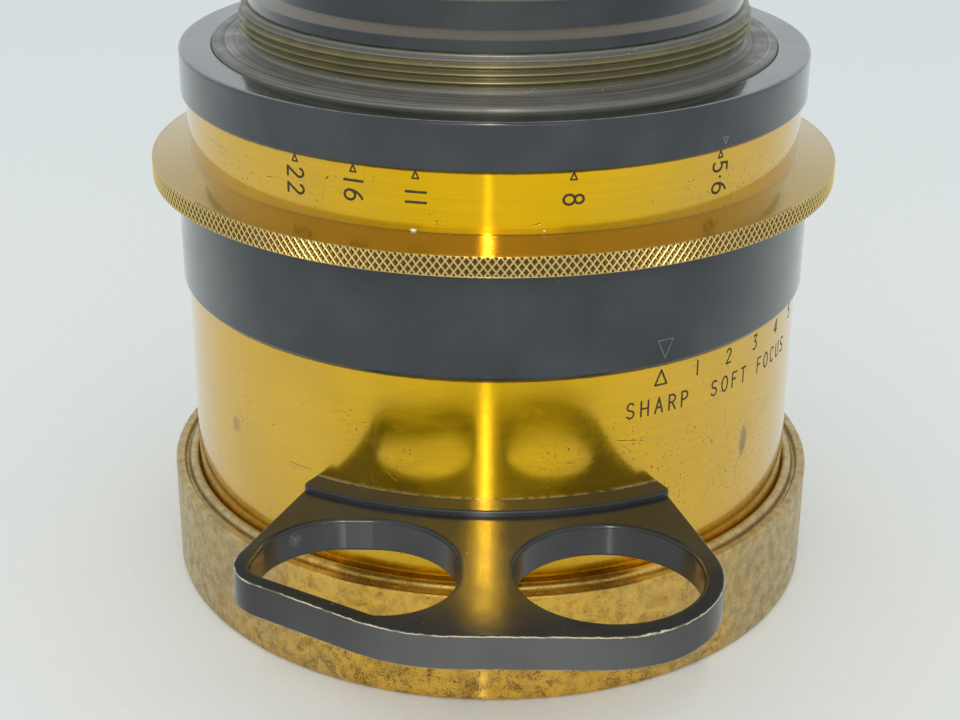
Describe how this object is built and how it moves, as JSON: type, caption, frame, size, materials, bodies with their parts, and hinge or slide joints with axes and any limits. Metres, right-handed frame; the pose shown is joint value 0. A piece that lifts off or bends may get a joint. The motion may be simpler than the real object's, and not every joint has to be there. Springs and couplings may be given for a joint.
{
  "type": "portrait lens",
  "caption": "Brass and black portrait lens: glass cells in a threaded barrel, a knurled iris ring, and a soft-focus front tube turned by a two-finger handle that slides the front cell.",
  "frame": {"origin": "centre of the front hood's rim, where the lens stands", "axes": "+Z along the optical axis from the hood towards the rear cell; the finger handle points to -Y"},
  "size_m": [0.104, 0.1336, 0.101],
  "materials": {
    "lacquered_brass": "turned and lacquered, golden",
    "tarnished_brass": "lacquer worn off, mottled brown patina",
    "black_lacquer": "gloss black lacquer, worn at the edges",
    "blackened_thread_brass": "blackened brass, bare on the thread crests, dusty",
    "black_cell": "satin black lacquer",
    "blackened_brass": "chemically blackened, matt",
    "plain_brass": "plain turned brass",
    "screw_steel": "blued steel",
    "blade_steel": "blackened spring steel",
    "optical_glass": "polished uncoated optical glass"
  },
  "bodies": {
    "barrel": {"guide_barrel": "blackened_brass", "barrel_retaining_ring": "blackened_brass", "name_ring": "black_lacquer", "name_ring_screws": "screw_steel", "mount_barrel": "blackened_thread_brass", "index_ring": "black_lacquer", "index_ring_screws": "screw_steel", "iris_pivot_plate": "blackened_brass", "iris_retaining_ring": "blackened_brass", "middle_cell": "black_cell", "middle_lens": "optical_glass", "middle_retaining_ring": "black_cell", "rear_cell": "black_cell", "rear_lens": "optical_glass", "rear_retaining_ring": "black_cell"},
    "iris_ring": {"iris_control_ring": "lacquered_brass", "iris_key_screw": "screw_steel", "iris_drive_ring": "blackened_brass"},
    "front_tube": {"front_hood": "tarnished_brass", "front_barrel": "lacquered_brass", "cam_sleeve": "plain_brass", "cam_sleeve_screws": "screw_steel", "knuckle_handle": "black_lacquer", "handle_screws": "plain_brass"},
    "front_group": {"front_carrier": "blackened_brass", "cam_screws": "screw_steel", "front_cell": "black_cell", "front_lens": "optical_glass", "front_retaining_ring": "black_cell"},
    "iris_blade_01_body": {"iris_blade_01": "blade_steel"},
    "iris_blade_02_body": {"iris_blade_02": "blade_steel"},
    "iris_blade_03_body": {"iris_blade_03": "blade_steel"},
    "iris_blade_04_body": {"iris_blade_04": "blade_steel"},
    "iris_blade_05_body": {"iris_blade_05": "blade_steel"},
    "iris_blade_06_body": {"iris_blade_06": "blade_steel"},
    "iris_blade_07_body": {"iris_blade_07": "blade_steel"},
    "iris_blade_08_body": {"iris_blade_08": "blade_steel"},
    "iris_blade_09_body": {"iris_blade_09": "blade_steel"},
    "iris_blade_10_body": {"iris_blade_10": "blade_steel"},
    "iris_blade_11_body": {"iris_blade_11": "blade_steel"},
    "iris_blade_12_body": {"iris_blade_12": "blade_steel"}
  },
  "joints": [
    {"name": "iris_turn", "type": "hinge", "parent": "barrel", "child": "iris_ring", "pos_m": [0, 0, 0.0716], "axis": [0, 0, 1], "range_deg": [0, 75.9]},
    {"name": "soft_focus_turn", "type": "hinge", "parent": "barrel", "child": "front_tube", "pos_m": [0, 0, 0.03], "axis": [0, 0, -1], "range_deg": [0, 41]},
    {"name": "front_cell_slide", "type": "slide", "parent": "barrel", "child": "front_group", "axis": [0, 0, -1], "range_m": [0, 0.0041]},
    {"name": "iris_blade_01_swing", "type": "hinge", "parent": "barrel", "child": "iris_blade_01_body", "pos_m": [0.034, 0, 0.063], "axis": [0, 0, 1], "range_deg": [0, 38]},
    {"name": "iris_blade_02_swing", "type": "hinge", "parent": "barrel", "child": "iris_blade_02_body", "pos_m": [0.02944, 0.017, 0.063], "axis": [0, 0, 1], "range_deg": [0, 38]},
    {"name": "iris_blade_03_swing", "type": "hinge", "parent": "barrel", "child": "iris_blade_03_body", "pos_m": [0.017, 0.02944, 0.063], "axis": [0, 0, 1], "range_deg": [0, 38]},
    {"name": "iris_blade_04_swing", "type": "hinge", "parent": "barrel", "child": "iris_blade_04_body", "pos_m": [0, 0.034, 0.063], "axis": [0, 0, 1], "range_deg": [0, 38]},
    {"name": "iris_blade_05_swing", "type": "hinge", "parent": "barrel", "child": "iris_blade_05_body", "pos_m": [-0.017, 0.02944, 0.063], "axis": [0, 0, 1], "range_deg": [0, 38]},
    {"name": "iris_blade_06_swing", "type": "hinge", "parent": "barrel", "child": "iris_blade_06_body", "pos_m": [-0.02944, 0.017, 0.063], "axis": [0, 0, 1], "range_deg": [0, 38]},
    {"name": "iris_blade_07_swing", "type": "hinge", "parent": "barrel", "child": "iris_blade_07_body", "pos_m": [-0.034, 0, 0.063], "axis": [0, 0, 1], "range_deg": [0, 38]},
    {"name": "iris_blade_08_swing", "type": "hinge", "parent": "barrel", "child": "iris_blade_08_body", "pos_m": [-0.02944, -0.017, 0.063], "axis": [0, 0, 1], "range_deg": [0, 38]},
    {"name": "iris_blade_09_swing", "type": "hinge", "parent": "barrel", "child": "iris_blade_09_body", "pos_m": [-0.017, -0.02944, 0.063], "axis": [0, 0, 1], "range_deg": [0, 38]},
    {"name": "iris_blade_10_swing", "type": "hinge", "parent": "barrel", "child": "iris_blade_10_body", "pos_m": [0, -0.034, 0.063], "axis": [0, 0, 1], "range_deg": [0, 38]},
    {"name": "iris_blade_11_swing", "type": "hinge", "parent": "barrel", "child": "iris_blade_11_body", "pos_m": [0.017, -0.02944, 0.063], "axis": [0, 0, 1], "range_deg": [0, 38]},
    {"name": "iris_blade_12_swing", "type": "hinge", "parent": "barrel", "child": "iris_blade_12_body", "pos_m": [0.02944, -0.017, 0.063], "axis": [0, 0, 1], "range_deg": [0, 38]}
  ],
  "couplings": [
    {"joint": "front_cell_slide", "follows": "soft_focus_turn", "m_per_rad": 0.0057296},
    {"joint": "iris_blade_01_swing", "follows": "iris_turn", "ratio": 0.5},
    {"joint": "iris_blade_02_swing", "follows": "iris_turn", "ratio": 0.5},
    {"joint": "iris_blade_03_swing", "follows": "iris_turn", "ratio": 0.5},
    {"joint": "iris_blade_04_swing", "follows": "iris_turn", "ratio": 0.5},
    {"joint": "iris_blade_05_swing", "follows": "iris_turn", "ratio": 0.5},
    {"joint": "iris_blade_06_swing", "follows": "iris_turn", "ratio": 0.5},
    {"joint": "iris_blade_07_swing", "follows": "iris_turn", "ratio": 0.5},
    {"joint": "iris_blade_08_swing", "follows": "iris_turn", "ratio": 0.5},
    {"joint": "iris_blade_09_swing", "follows": "iris_turn", "ratio": 0.5},
    {"joint": "iris_blade_10_swing", "follows": "iris_turn", "ratio": 0.5},
    {"joint": "iris_blade_11_swing", "follows": "iris_turn", "ratio": 0.5},
    {"joint": "iris_blade_12_swing", "follows": "iris_turn", "ratio": 0.5}
  ]
}
